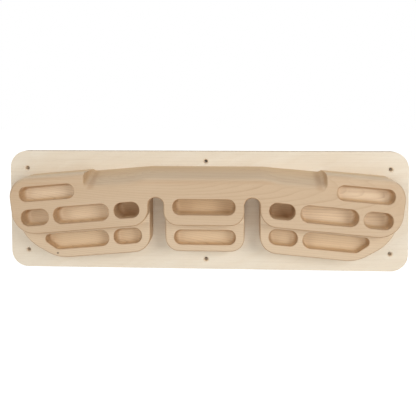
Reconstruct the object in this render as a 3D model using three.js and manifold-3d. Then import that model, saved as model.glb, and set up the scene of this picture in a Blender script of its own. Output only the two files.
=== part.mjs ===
// Climbing hangboard: a block milled from solid hardwood, screwed from behind to a plywood panel.
// Millimetres. Each piece is drawn in the board's own frame: x to the right, y up, z out from the panel's
// front face. The last lines turn that frame so that the board faces -Y with +Z up, its back on the wall.

import * as THREE from "three";
import Module from "manifold-3d";

const kernel = await Module();
kernel.setup();

// Driving sizes of the plywood panel
const panelWidth = 705;
const panelHeight = 210;
const panelThickness = 15;
const panelCornerRadius = 30;

// Wall screw holes: four near the corners, one at the middle of the top and of the bottom edge
const cornerHoleInset = 31;
const middleHoleInset = 17.8;
const wallHoleDiameter = 6;
const wallSinkDiameter = 10;

// Block, measured outward from the panel: full depth, and depth of the step along its lower part
const blockDepth = 58;
const stepDepth = 33;
const edgeRound = 3;
const topRound = 8;

// The step's slab keeps this far inside the full-depth outline where the two run together
const seamInset = 0.3;

// Outline of the block: crown and centre leg, about the panel's centre
const crownTop = 78.5;
const crownHalfWidth = 98;
const centreStepDrop = 15.7;
const centreFootDrop = 65.5;
const centreCornerRadius = 24;

// Finger gaps between the centre leg and the wings
const gapCentre = 81.3;
const gapWidth = 26.2;
const gapTop = 31.5;
const gapHeadRadius = 12.6;

// Outline of a wing, along its own sloping axis from the gap outward.
// Past the slopers it stands proud of them.
const wingTilt = THREE.MathUtils.degToRad(5.05);
const wingRise = 3.3;
const wingStepDrop = 15.5;
const wingFootDrop = 65.7;
const wingInnerRadius = 30;
const wingTopReach = 236.4;
const wingTopRadius = 30;
const wingSideLean = 3.3;
const wingSideDrop = 23.1;
const wingSideRadius = 75;
const wingStepRadius = 40;
const wingFootSetback = 66.5;
const wingFootRadius = 65;

// Slopers cut down into the crown, from the panel to the front face
const centreSlope = THREE.MathUtils.degToRad(15);
const outerSlope = THREE.MathUtils.degToRad(19);
const sloperBlendRadius = 13;
const sloperShoulder = 96;
const sloperTransition = 36;
const endBlockLength = 133;
const sloperEndFillet = 11;

// Pockets: shared radii and depths. A slot's two end corners leave a short flat between them.
const slotEndFlat = 1;
const lipRadius = 2;
const floorRadius = 5;
const shallowDepth = 24;
const mediumDepth = 30;
const deepDepth = 42;
const centreDepth = 40;
const lowDepth = 22;

// Pocket rows of a wing: heights from its edges, then lengths from the gap outward
const topRowDrop = 28.3;
const middleRowRise = 28.3;
const lowRowRise = 29.2;
const topSlotHeight = 25;
const innerPocketHeight = 26.7;
const longSlotHeight = 28.6;
const outerPocketHeight = 27.6;
const lowPocketHeight = 26.4;
const angledSlotHeight = 27.4;
const topSlotLength = 94.9;
const topSlotMargin = 18.7;
const innerMargin = 14.2;
const innerPocketLength = 42.9;
const innerWeb = 9.4;
const outerWeb = 8.7;
const outerPocketLength = 47.6;
const outerMargin = 18;
const lowMargin = 18.9;
const lowPocketLength = 48.5;
const lowWeb = 9.3;
const angledTopSetback = 33.5;
const angledFootSetback = 67.5;
const angledTipRadius = 8;
const angledFootRadius = 12;

// Slots of the centre leg
const centreSlotLength = 105.5;
const upperSlotHeight = 26.4;
const lowerSlotHeight = 25.2;
const upperSlotRise = 15.8;
const lowerSlotDrop = 40.9;

// Assembly screws, driven from behind
const screwDiameter = 4.5;
const screwRootDiameter = 3.2;
const screwHeadDiameter = 9;
const screwBite = 27;
const screwPoint = 5;
const screwThreads = 6;
const recessWidth = 1.2;
const recessSpan = 4.6;
const recessDepth = 1.6;
const screwClearance = 0.3;
const upperScrewDrop = 45;
const lowerScrewRise = 4.4;
const screwInnerReach = 65;
const screwOuterSetback = 48.4;
const centreScrewSpread = 30;
const centreScrewDrop = 33.5;
const centreScrewRise = 3.5;

// One overrun serves every cutter that passes a face
const overrun = 2;

const gapInner = gapCentre - gapWidth / 2;
const gapOuter = gapCentre + gapWidth / 2;
const tiltCos = Math.cos(wingTilt);
const tiltSin = Math.sin(wingTilt);
const wingTop = (crownHalfWidth - gapOuter) * tiltSin + crownTop * tiltCos + wingRise;

const curveSteps = 5;
const roundSteps = 3;
const topRoundSteps = 5;

// A point given along and across a wing's axis, in the board's frame
function wingPoint(along, up) {
  return {
    x: gapOuter + along * tiltCos + up * tiltSin,
    y: -along * tiltSin + up * tiltCos,
  };
}

// Where a wing's end face lies along its axis, at a height on that axis: the face leans inward as it drops
function endReach(up) {
  const foot = wingTopReach - wingSideLean;
  return THREE.MathUtils.mapLinear(up, -wingSideDrop, wingTop, foot, wingTopReach);
}

// Left-right mirror image of a run of corners, in the order that keeps the outline counter-clockwise
function mirrored(corners) {
  return corners.map((corner) => ({ ...corner, x: -corner.x })).reverse();
}

// Closed outline through rounded corners, grown outward by a distance. Inner corners widen as it shrinks.
function roundedOutline(corners, growth = 0) {
  const points = [];
  corners.forEach((corner, i) => {
    const before = corners[(i + corners.length - 1) % corners.length];
    const after = corners[(i + 1) % corners.length];
    const into = new THREE.Vector2(corner.x - before.x, corner.y - before.y).normalize();
    const out = new THREE.Vector2(after.x - corner.x, after.y - corner.y).normalize();
    const turn = Math.atan2(into.cross(out), into.dot(out));
    const normalIn = new THREE.Vector2(into.y, -into.x);
    const normalOut = new THREE.Vector2(out.y, -out.x);
    const reach = growth / (1 + normalIn.dot(normalOut));
    const tip = new THREE.Vector2(corner.x, corner.y);
    tip.addScaledVector(normalIn, reach).addScaledVector(normalOut, reach);
    const radius = corner.radius + Math.sign(turn) * growth;
    const start = tip.clone().addScaledVector(into, -radius * Math.tan(Math.abs(turn) / 2));
    const centre = start.clone().addScaledVector(normalIn, -Math.sign(turn) * radius);
    const steps = corner.steps ?? curveSteps;
    for (let step = 0; step <= steps; step++) {
      points.push(start.clone().rotateAround(centre, (turn * step) / steps));
    }
  });
  return points;
}

// Closed solid through rings of equal count, capped at both ends. flat drops a ring to the plane of its cap.
function skin(rings, flat) {
  const count = rings[0].length;
  const position = rings.flat().flatMap((point) => [point.x, point.y, point.z]);
  const index = [];
  for (let ring = 0; ring + 1 < rings.length; ring++) {
    for (let i = 0; i < count; i++) {
      const a = ring * count + i;
      const b = ring * count + ((i + 1) % count);
      index.push(a, b, b + count, a, b + count, a + count);
    }
  }
  for (const ring of [0, rings.length - 1]) {
    const contour = rings[ring].map(flat);
    const clockwise = THREE.ShapeUtils.area(contour) < 0;
    for (const face of THREE.ShapeUtils.triangulateShape(contour, [])) {
      const [a, b, c] = face.map((corner) => ring * count + corner);
      const area = THREE.ShapeUtils.area(face.map((corner) => contour[corner]));
      const alike = area < 0 === clockwise;
      index.push(...(alike === ring > 0 ? [a, b, c] : [a, c, b]));
    }
  }
  return solidFrom(position, index);
}

function solidFrom(position, index) {
  const mesh = new kernel.Mesh({
    numProp: 3,
    vertProperties: Float32Array.from(position),
    triVerts: Uint32Array.from(index),
  });
  const made = new kernel.Manifold(mesh);
  if (made.volume() > 0) return made;
  const turned = [];
  for (let i = 0; i < index.length; i += 3) turned.push(index[i], index[i + 2], index[i + 1]);
  mesh.triVerts = Uint32Array.from(turned);
  return new kernel.Manifold(mesh);
}

// Stack of outlines, each grown by its own amount at its own depth
function stack(levels) {
  const rings = levels.map(({ corners, z, growth }) =>
    roundedOutline(corners, growth).map((point) => new THREE.Vector3(point.x, point.y, z)),
  );
  return skin(rings, (point) => new THREE.Vector2(point.x, point.y));
}

// Solid of revolution about z from a profile of radius and depth pairs that starts and ends on the axis
function turned(profile, segments) {
  const geometry = new THREE.LatheGeometry(
    profile.map(([radius, z]) => new THREE.Vector2(radius, z)),
    segments,
  );
  geometry.rotateX(Math.PI / 2);
  return welded(geometry);
}

// Any closed three.js geometry as a solid, its vertices welded by place
function welded(geometry) {
  const source = geometry.index ? geometry.toNonIndexed() : geometry;
  const places = source.getAttribute("position");
  const known = new Map();
  const position = [];
  const index = [];
  for (let i = 0; i < places.count; i++) {
    const place = [places.getX(i), places.getY(i), places.getZ(i)];
    const key = place.map((value) => Math.round(value * 1e4)).join();
    if (!known.has(key)) {
      known.set(key, known.size);
      position.push(...place);
    }
    index.push(known.get(key));
  }
  const kept = [];
  for (let i = 0; i < index.length; i += 3) {
    const [a, b, c] = index.slice(i, i + 3);
    if (a !== b && b !== c && c !== a) kept.push(a, b, c);
  }
  return solidFrom(position, kept);
}

function cutAway(body, cutters) {
  return kernel.Manifold.difference([body, ...cutters]);
}

function meshOf(name, solid, material) {
  const made = solid.getMesh();
  const geometry = new THREE.BufferGeometry();
  geometry.setAttribute("position", new THREE.BufferAttribute(made.vertProperties, 3));
  geometry.setIndex(new THREE.BufferAttribute(made.triVerts, 1));
  const flatShaded = geometry.toNonIndexed();
  flatShaded.computeVertexNormals();
  const mesh = new THREE.Mesh(flatShaded, material);
  mesh.name = name;
  return mesh;
}

// Outline of the block

// Round head of a finger gap and the lower corner of the centre leg, seen from the centre outward
function legCorners(drop) {
  return [
    { x: gapInner, y: -drop, radius: centreCornerRadius },
    { x: gapInner, y: gapTop, radius: gapHeadRadius, steps: 6 },
    { x: gapOuter, y: gapTop, radius: gapHeadRadius, steps: 6 },
  ];
}

// The tops of the wings run on to a ridge over the centre, which the slopers cut down to the crown
function blockOutline(legDrop, wingCorners, topInset, endInset) {
  const top = wingTop - topInset;
  const corner = wingPoint(endReach(top) - endInset, top);
  const ridge = { x: 0, y: gapOuter * Math.tan(wingTilt) + top / tiltCos, radius: crownHalfWidth, steps: 1 };
  const right = [...legCorners(legDrop), ...wingCorners, { ...corner, radius: wingTopRadius, steps: 7 }];
  return [...right, ridge, ...mirrored(right)];
}

// Full silhouette, as deep as the step
function baseCorners() {
  const wing = [
    { x: gapOuter, y: -wingFootDrop / tiltCos, radius: wingInnerRadius },
    { ...wingPoint(wingTopReach - wingFootSetback, -wingFootDrop), radius: wingFootRadius },
    { ...wingPoint(endReach(-wingSideDrop), -wingSideDrop), radius: wingSideRadius, steps: 7 },
  ];
  return blockOutline(centreFootDrop, wing, seamInset, seamInset);
}

// Outline of the full depth, which ends at the step
function faceCorners(topInset) {
  const wing = [
    { x: gapOuter, y: -wingStepDrop / tiltCos, radius: wingInnerRadius },
    { ...wingPoint(endReach(-wingStepDrop), -wingStepDrop), radius: wingStepRadius, steps: 7 },
  ];
  return blockOutline(centreStepDrop, wing, topInset, 0);
}

// How far a round edge has drawn in, at a distance below the face that it meets
function roundRun(radius, below) {
  const rise = Math.max(0, radius - below);
  return radius - Math.sqrt(radius ** 2 - rise ** 2);
}

// Slab from the panel to a given depth, its front edge rounded over, with a wider round along the tops
function roundedSlab(cornersAt, depth, topRadius, steps) {
  const levels = [{ corners: cornersAt(0), z: 0, growth: 0 }];
  for (let step = 0; step <= steps; step++) {
    const below = topRadius * (1 - Math.sin((Math.PI / 2) * (step / steps)));
    const run = roundRun(edgeRound, below);
    const topRun = roundRun(topRadius, below);
    levels.push({ corners: cornersAt(topRun - run), z: depth - below, growth: -run });
  }
  return stack(levels);
}

// Slopers

// Back edge of the slopers: level across the crown, then falling outward along the wings
function sloperBack(x) {
  const past = Math.max(0, Math.abs(x) - crownHalfWidth);
  return crownTop - past * Math.tan(wingTilt);
}

// Front edge of the slopers before it is rounded, steeper beyond its shoulders
function sloperFront(x) {
  const past = (Math.abs(x) - sloperShoulder) / sloperTransition;
  const blend = THREE.MathUtils.smoothstep(past, 0, 1);
  const drop = THREE.MathUtils.lerp(Math.tan(centreSlope), Math.tan(outerSlope), blend);
  return sloperBack(x) - blockDepth * drop;
}

// Section of the sloper cut at one place: rounded front edge, sloping face, then clear of the block
function sloperSection(x, lift) {
  const front = sloperFront(x);
  const slope = Math.atan2(sloperBack(x) - front, blockDepth);
  const turn = Math.PI / 2 - slope;
  const foot = front - sloperBlendRadius * Math.tan(turn / 2);
  const section = [];
  for (let step = 0; step <= curveSteps; step++) {
    const angle = (turn * step) / curveSteps;
    const y = foot + sloperBlendRadius * Math.sin(angle);
    const z = blockDepth - sloperBlendRadius * (1 - Math.cos(angle));
    section.push({ y: y + lift, z });
  }
  const clear = wingTop / tiltCos + gapOuter * Math.tan(wingTilt) + overrun;
  section.push({ y: sloperBack(x) + overrun * Math.tan(slope) + lift, z: -overrun });
  section.push({ y: clear + lift, z: -overrun });
  section.push({ y: clear + lift, z: blockDepth + overrun });
  section.push({ y: foot + lift, z: blockDepth + overrun });
  return section;
}

// The sloper cut follows the crown, rises in a fillet at each end and leaves an upright end wall there
function sloperCutter() {
  const sloperEnd = wingPoint(wingTopReach, wingTop).x - endBlockLength;
  const wallStart = sloperEnd - sloperEndFillet;
  const half = [{ x: 0, lift: 0 }];
  for (let step = 0; step <= curveSteps; step++) {
    half.push({ x: sloperShoulder + (sloperTransition * step) / curveSteps, lift: 0 });
  }
  for (let step = 0; step <= curveSteps; step++) {
    const angle = (Math.PI / 2) * (step / curveSteps);
    const x = wallStart + sloperEndFillet * Math.sin(angle);
    half.push({ x, lift: sloperEndFillet * (1 - Math.cos(angle)) });
  }
  half.push({ x: sloperEnd, lift: crownTop });
  const left = half.slice(1).reverse();
  const columns = [...left.map(({ x, lift }) => ({ x: -x, lift })), ...half];
  const rings = columns.map(({ x, lift }) =>
    sloperSection(x, lift).map(({ y, z }) => {
      const flare = roundRun(edgeRound, Math.max(0, blockDepth - z));
      const atWall = Math.abs(x) >= sloperEnd ? flare : 0;
      return new THREE.Vector3(x + Math.sign(x) * atWall, y, z);
    }),
  );
  return skin(rings, (point) => new THREE.Vector2(point.y, point.z));
}

// Pockets

// Corner radius of a slot with nearly round ends
function endRadius(height) {
  return (height - slotEndFlat) / 2;
}

// Corners of a straight slot on a wing, from its inner end
function wingSlot(start, length, middle, height) {
  const low = middle - height / 2;
  const high = middle + height / 2;
  const radius = endRadius(height);
  return [
    { ...wingPoint(start, low), radius },
    { ...wingPoint(start + length, low), radius },
    { ...wingPoint(start + length, high), radius },
    { ...wingPoint(start, high), radius },
  ];
}

// The long slot of the lower row ends in a slanting side and a narrow tip
function angledSlot(start, middle) {
  const low = middle - angledSlotHeight / 2;
  const high = middle + angledSlotHeight / 2;
  const radius = endRadius(angledSlotHeight);
  return [
    { ...wingPoint(start, low), radius },
    { ...wingPoint(wingTopReach - angledFootSetback, low), radius: angledFootRadius },
    { ...wingPoint(wingTopReach - angledTopSetback, high), radius: angledTipRadius },
    { ...wingPoint(start, high), radius },
  ];
}

function centreSlot(middle, height) {
  const reach = centreSlotLength / 2;
  const low = middle - height / 2;
  const high = middle + height / 2;
  const radius = endRadius(height);
  return [
    { x: -reach, y: low, radius },
    { x: reach, y: low, radius },
    { x: reach, y: high, radius },
    { x: -reach, y: high, radius },
  ];
}

// Milled pocket: rounded floor, straight wall, lip rounded outward, then clear of the face
function pocketCutter({ corners, face, depth }) {
  const levels = [];
  for (let step = 0; step <= roundSteps; step++) {
    const above = floorRadius * (1 - Math.cos((Math.PI / 2) * (step / roundSteps)));
    levels.push({ corners, z: face - depth + above, growth: -roundRun(floorRadius, above) });
  }
  for (let step = 0; step <= roundSteps; step++) {
    const below = lipRadius * (1 - Math.sin((Math.PI / 2) * (step / roundSteps)));
    levels.push({ corners, z: face - below, growth: roundRun(lipRadius, below) });
  }
  levels.push({ corners, z: face + overrun, growth: lipRadius });
  return stack(levels);
}

function pockets() {
  const topRow = wingTop - topRowDrop;
  const middleRow = middleRowRise - wingStepDrop;
  const lowRow = lowRowRise - wingFootDrop;
  const topStart = wingTopReach - topSlotMargin - topSlotLength;
  const longStart = innerMargin + innerPocketLength + innerWeb;
  const outerStart = wingTopReach - outerMargin - outerPocketLength;
  const longSlotLength = outerStart - outerWeb - longStart;
  const angledStart = lowMargin + lowPocketLength + lowWeb;
  const upper = [
    [wingSlot(topStart, topSlotLength, topRow, topSlotHeight), shallowDepth],
    [wingSlot(innerMargin, innerPocketLength, middleRow, innerPocketHeight), deepDepth],
    [wingSlot(longStart, longSlotLength, middleRow, longSlotHeight), mediumDepth],
    [wingSlot(outerStart, outerPocketLength, middleRow, outerPocketHeight), mediumDepth],
  ].map(([corners, depth]) => ({ corners, depth, face: blockDepth }));
  const lower = [
    wingSlot(lowMargin, lowPocketLength, lowRow, lowPocketHeight),
    angledSlot(angledStart, lowRow),
  ].map((corners) => ({ corners, depth: lowDepth, face: stepDepth }));
  const right = [...upper, ...lower];
  const left = right.map((pocket) => ({ ...pocket, corners: mirrored(pocket.corners) }));
  const centre = [
    { corners: centreSlot(upperSlotRise, upperSlotHeight), depth: centreDepth, face: blockDepth },
    { corners: centreSlot(-lowerSlotDrop, lowerSlotHeight), depth: lowDepth, face: stepDepth },
  ];
  return [...right, ...left, ...centre];
}

// Screws and their holes

function screwPlaces() {
  const above = wingTop - upperScrewDrop;
  const below = lowerScrewRise - wingStepDrop;
  const outer = wingTopReach - screwOuterSetback;
  const right = [
    wingPoint(screwInnerReach, above),
    wingPoint(outer, above),
    wingPoint(screwInnerReach, below),
    wingPoint(outer, below),
    { x: centreScrewSpread, y: crownTop - centreScrewDrop },
    { x: centreScrewSpread, y: centreScrewRise - centreStepDrop },
  ];
  return [...right, ...right.map(({ x, y }) => ({ x: -x, y }))];
}

// Countersunk wood screw with its head at the panel's back face and its point in the block
function assemblyScrew() {
  const head = screwHeadDiameter / 2;
  const shank = screwDiameter / 2;
  const root = screwRootDiameter / 2;
  const back = -panelThickness;
  const tip = screwBite;
  const pitch = (tip - screwPoint) / screwThreads;
  const profile = [[0, back], [head, back], [shank, back + head - shank], [shank, 0]];
  for (let thread = 0; thread < screwThreads; thread++) {
    profile.push([root, pitch * thread + pitch / 4]);
    profile.push([shank, pitch * thread + pitch * 0.75]);
  }
  profile.push([root, tip - screwPoint], [0, tip]);
  const recess = [0, Math.PI / 2].map((angle) => {
    const arm = new THREE.BoxGeometry(recessSpan, recessWidth, recessDepth * 2);
    return welded(arm.rotateZ(angle).translate(0, 0, back));
  });
  return cutAway(turned(profile, 8), recess);
}

// Bore for an assembly screw, a clearance wider than the screw all over
function screwBore({ x, y }) {
  const head = screwHeadDiameter / 2 + screwClearance;
  const shank = screwDiameter / 2 + screwClearance;
  const back = -panelThickness;
  const profile = [
    [0, back - overrun],
    [head, back - overrun],
    [head, back],
    [shank, back + head - shank],
    [shank, screwBite - screwPoint],
    [0, screwBite + screwClearance * 2],
  ];
  return turned(profile, 12).translate(x, y, 0);
}

// Countersunk through hole for a wall screw
function wallBore({ x, y }) {
  const bore = wallHoleDiameter / 2;
  const sink = wallSinkDiameter / 2;
  const profile = [
    [0, -panelThickness - overrun],
    [bore, -panelThickness - overrun],
    [bore, bore - sink],
    [sink, 0],
    [sink, overrun],
    [0, overrun],
  ];
  return turned(profile, 24).translate(x, y, 0);
}

function wallHolePlaces() {
  const x = panelWidth / 2 - cornerHoleInset;
  const y = panelHeight / 2 - cornerHoleInset;
  const middle = panelHeight / 2 - middleHoleInset;
  return [
    { x, y }, { x: -x, y }, { x: -x, y: -y }, { x, y: -y }, { x: 0, y: middle }, { x: 0, y: -middle },
  ];
}

// Pieces

const panelWood = new THREE.MeshStandardMaterial({ color: 0xe6d9bf, roughness: 0.72, metalness: 0 });
const blockWood = new THREE.MeshStandardMaterial({ color: 0xd3b38c, roughness: 0.62, metalness: 0 });
const screwSteel = new THREE.MeshStandardMaterial({ color: 0xb8b49f, roughness: 0.35, metalness: 0.9 });

function backingPanel() {
  const x = panelWidth / 2;
  const y = panelHeight / 2;
  const corners = [[-x, -y], [x, -y], [x, y], [-x, y]].map(([cornerX, cornerY]) => ({
    x: cornerX, y: cornerY, radius: panelCornerRadius, steps: 8,
  }));
  const sheet = stack([-panelThickness, 0].map((z) => ({ corners, z, growth: 0 })));
  const bores = [...wallHolePlaces().map(wallBore), ...screwPlaces().map(screwBore)];
  return meshOf("backing_panel", cutAway(sheet, bores), panelWood);
}

// The block: two rounded slabs joined at the step, then slopers, pockets and screw bores
function hangboardBlock() {
  const base = roundedSlab(baseCorners, stepDepth, edgeRound, roundSteps);
  const face = roundedSlab(faceCorners, blockDepth, topRound, topRoundSteps);
  const blank = kernel.Manifold.union([base, face]);
  const cutters = [sloperCutter(), ...pockets().map(pocketCutter), ...screwPlaces().map(screwBore)];
  return meshOf("hangboard_block", cutAway(blank, cutters), blockWood);
}

function hangboard() {
  const frame = new THREE.Group();
  frame.add(backingPanel(), hangboardBlock());
  const screw = assemblyScrew();
  screwPlaces().forEach(({ x, y }, i) => {
    const piece = meshOf(`assembly_screw_${i + 1}`, screw, screwSteel.clone());
    piece.position.set(x, y, 0);
    frame.add(piece);
  });
  frame.rotation.x = Math.PI / 2;
  frame.position.y = -panelThickness;
  const part = new THREE.Group();
  part.add(frame);
  return part;
}

export default hangboard();
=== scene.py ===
import math

import bpy
from mathutils import Matrix, Vector


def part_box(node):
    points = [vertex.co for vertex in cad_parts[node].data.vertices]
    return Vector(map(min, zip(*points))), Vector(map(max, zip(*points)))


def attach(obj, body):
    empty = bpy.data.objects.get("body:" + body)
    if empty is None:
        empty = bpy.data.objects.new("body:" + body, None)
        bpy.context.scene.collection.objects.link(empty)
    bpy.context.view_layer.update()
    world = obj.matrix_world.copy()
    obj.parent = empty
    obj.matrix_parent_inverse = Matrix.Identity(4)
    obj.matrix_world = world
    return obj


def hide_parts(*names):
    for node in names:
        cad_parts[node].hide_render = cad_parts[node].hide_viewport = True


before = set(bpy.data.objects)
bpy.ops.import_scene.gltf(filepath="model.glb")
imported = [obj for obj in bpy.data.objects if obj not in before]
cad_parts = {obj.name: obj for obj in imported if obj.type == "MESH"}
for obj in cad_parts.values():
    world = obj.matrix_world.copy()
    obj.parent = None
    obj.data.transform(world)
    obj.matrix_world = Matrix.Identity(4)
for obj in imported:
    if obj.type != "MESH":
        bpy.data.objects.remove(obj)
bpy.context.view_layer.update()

# Everything is drawn in the board's own frame, in millimetres: x right, y up, z out from the panel's face.
# boardToFrame turns that into the part's frame, in metres, with the panel's back face on the wall.
panelLow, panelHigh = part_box("backing_panel")
panel = {
    "width": (panelHigh.x - panelLow.x) * 1000,
    "height": (panelHigh.z - panelLow.z) * 1000,
    "thickness": (panelHigh.y - panelLow.y) * 1000,
    "cornerRadius": 30,
    "edgeRound": 0.5,
    "cornerHoleInset": 31,
    "middleHoleInset": 17.8,
    "wallHoleDiameter": 6,
    "wallSinkDiameter": 10,
}
boardToFrame = (
    Matrix.Translation((0, panelLow.y, 0))
    @ Matrix.Rotation(math.pi / 2, 4, "X")
    @ Matrix.Scale(0.001, 4)
)


# Meshes from outlines

def roundedOutline(corners, growth=0, steps=10):
    # corners are (x, y, radius), counter-clockwise
    points = []
    for i, (x, y, cornerRadius) in enumerate(corners):
        before = Vector(corners[i - 1][:2])
        after = Vector(corners[(i + 1) % len(corners)][:2])
        corner = Vector((x, y))
        into = (corner - before).normalized()
        out = (after - corner).normalized()
        turn = math.atan2(into.x * out.y - into.y * out.x, into.dot(out))
        side = math.copysign(1, turn)
        normalIn = Vector((into.y, -into.x))
        normalOut = Vector((out.y, -out.x))
        tip = corner + (normalIn + normalOut) * (growth / (1 + normalIn.dot(normalOut)))
        radius = cornerRadius + side * growth
        start = tip - into * radius * math.tan(abs(turn) / 2)
        centre = start - normalIn * side * radius
        spoke = start - centre
        for step in range(steps + 1):
            arm = Matrix.Rotation(turn * step / steps, 2) @ spoke
            points.append(centre + arm)
    return points


def skin(name, rings):
    # closed mesh through rings of equal count, capped with one face at each end
    count = len(rings[0])
    points = [point for ring in rings for point in ring]
    faces = []
    for ring in range(len(rings) - 1):
        for i in range(count):
            a = ring * count + i
            b = ring * count + (i + 1) % count
            faces.append((a, b, b + count, a + count))
    last = (len(rings) - 1) * count
    faces.append(tuple(reversed(range(count))))
    faces.append(tuple(range(last, last + count)))
    return meshObject(name, points, faces)


def meshObject(name, points, faces):
    mesh = bpy.data.meshes.new(name)
    mesh.from_pydata([tuple(point) for point in points], [], faces)
    mesh.validate()
    made = bpy.data.objects.new(name, mesh)
    bpy.context.collection.objects.link(made)
    return made


def stack(name, levels, steps=10):
    # levels are (corners, depth, growth) from the back to the front
    rings = []
    for corners, depth, growth in levels:
        rings.append([(p.x, p.y, depth) for p in roundedOutline(corners, growth, steps)])
    return skin(name, rings)


def evaluated(obj):
    # the object's mesh with its modifiers applied
    depsgraph = bpy.context.evaluated_depsgraph_get()
    mesh = bpy.data.meshes.new_from_object(obj.evaluated_get(depsgraph))
    obj.modifiers.clear()
    obj.data = mesh
    return obj


def combine(base, others, operation):
    # the base joined with, or cut by, every one of the others at once
    tools = bpy.data.collections.new(base.name + "_tools")
    bpy.context.scene.collection.children.link(tools)
    for other in others:
        tools.objects.link(other)
    boolean = base.modifiers.new("combine", "BOOLEAN")
    boolean.operation = operation
    boolean.operand_type = "COLLECTION"
    boolean.collection = tools
    boolean.solver = "EXACT"
    evaluated(base)
    for other in others:
        bpy.data.objects.remove(other)
    bpy.data.collections.remove(tools)
    return base


def finishMesh(obj, sharpAngle=38):
    # into the part's frame, with smooth rounds and flat faces
    obj.data.transform(boardToFrame)
    obj.data.shade_smooth()
    obj.data.set_sharp_from_angle(angle=math.radians(sharpAngle))
    weighted = obj.modifiers.new("weightedNormals", "WEIGHTED_NORMAL")
    weighted.mode = "FACE_AREA"
    weighted.keep_sharp = True
    return obj


def mirrored(corners):
    return [(-x, y, radius) for x, y, radius in reversed(corners)]


def standFor(piece, slot, *nodes):
    # the piece takes the place of these nodes and rides with the one body
    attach(piece, "root")
    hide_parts(*nodes)


def quarterRound(radius, steps):
    # (run along the face, drop from it) from the wall to the face
    for step in range(steps + 1):
        angle = math.pi / 2 * step / steps
        yield radius * (1 - math.cos(angle)), radius * (1 - math.sin(angle))


def roundRun(radius, below):
    # how far a round edge has drawn in, at a distance below the face that it meets
    rise = max(0, radius - below)
    return radius - math.sqrt(radius ** 2 - rise ** 2)


# Shader nodes

def addNode(tree, kind, **settings):
    node = tree.nodes.new(kind)
    for name, setting in settings.items():
        setattr(node, name, setting)
    return node


def feed(tree, socket, source):
    # source is another node's output, or a plain value
    if isinstance(source, bpy.types.NodeSocket):
        tree.links.new(source, socket)
    else:
        socket.default_value = source


def calc(tree, operation, *sources):
    node = addNode(tree, "ShaderNodeMath", operation=operation)
    for socket, source in zip(node.inputs, sources):
        feed(tree, socket, source)
    return node.outputs[0]


def product(tree, first, *others):
    for other in others:
        first = calc(tree, "MULTIPLY", first, other)
    return first


def strongest(tree, first, *others):
    for other in others:
        first = calc(tree, "MAXIMUM", first, other)
    return first


def inverse(tree, mask):
    return calc(tree, "SUBTRACT", 1.0, mask)


def vectorCalc(tree, operation, *sources):
    node = addNode(tree, "ShaderNodeVectorMath", operation=operation)
    for socket, source in zip(node.inputs, sources):
        feed(tree, socket, source)
    return node.outputs[0]


def axes(tree, vector):
    node = addNode(tree, "ShaderNodeSeparateXYZ")
    feed(tree, node.inputs[0], vector)
    return node.outputs


def spread(tree, source, low, high, first=0.0, last=1.0, smooth=False):
    # first at low and below, last at high and above, even or smooth between
    node = addNode(tree, "ShaderNodeMapRange", clamp=True)
    node.interpolation_type = "SMOOTHSTEP" if smooth else "LINEAR"
    names = ("Value", "From Min", "From Max", "To Min", "To Max")
    for name, given in zip(names, (source, low, high, first, last)):
        feed(tree, node.inputs[name], given)
    return node.outputs["Result"]


def spanFrom(surface, span):
    # a span that counts from a surface, towards the wall
    low, high, *ends = span
    return (surface + low, surface + high, *ends)


def blendColour(tree, share, first, second):
    node = addNode(tree, "ShaderNodeMix", data_type="RGBA")
    feed(tree, node.inputs[0], share)
    feed(tree, node.inputs[6], first)
    feed(tree, node.inputs[7], second)
    return node.outputs[2]


def tinted(tree, ground, mask, share, colour):
    return blendColour(tree, calc(tree, "MULTIPLY", mask, share), ground, colour)


def noiseAt(tree, place, stretch, detail=2.0, roughness=0.5, distortion=0.0):
    node = addNode(tree, "ShaderNodeTexNoise", noise_dimensions="3D")
    feed(tree, node.inputs["Vector"], vectorCalc(tree, "MULTIPLY", place, stretch))
    feed(tree, node.inputs["Scale"], 1.0)
    feed(tree, node.inputs["Detail"], detail)
    feed(tree, node.inputs["Roughness"], roughness)
    feed(tree, node.inputs["Distortion"], distortion)
    return node.outputs["Fac"]


def newGroup(name, inputs, outputs):
    # inputs are (name, kind, default), outputs are (name, kind)
    group = bpy.data.node_groups.new(name, "ShaderNodeTree")
    for socketName, kind, default in inputs:
        made = group.interface.new_socket(name=socketName, in_out="INPUT", socket_type=kind)
        made.default_value = default
    for socketName, kind in outputs:
        group.interface.new_socket(name=socketName, in_out="OUTPUT", socket_type=kind)
    return group, addNode(group, "NodeGroupInput").outputs, addNode(group, "NodeGroupOutput").inputs


def placeGroup(tree, group, values):
    node = addNode(tree, "ShaderNodeGroup", node_tree=group)
    for name, given in values.items():
        feed(tree, node.inputs[name], given)
    return node.outputs


# Grain of a board cut from a log that lies along X: growth rings, fibres, flecks and broad tone changes

boardGrain = {
    # noises: stretch along each axis, detail, roughness, distortion
    "bend": ((3.2, 9, 9), 2.0, 0.45),
    "ripple": ((18, 60, 60), 2.0, 0.5),
    "patches": ((6, 30, 30), 2.0, 0.5),
    "fibre": ((9, 420, 420), 4.0, 0.6, 0.2),
    "dashes": ((130, 1500, 1500), 1.0, 0.4),
    "tone": ((4, 22, 22), 3.0, 0.5),
    # spans: low, high, and what they turn into
    "yearEnd": (0.93, 1.0, 1.0, 0.0),
    "yearStrength": (0.0, 1.0, 0.45, 1.0),
    "patchStrength": (0.3, 0.65, 0.45, 1.0),
    "fleckSpan": (0.66, 0.78),
    "rippleShare": 0.16,
}


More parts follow.
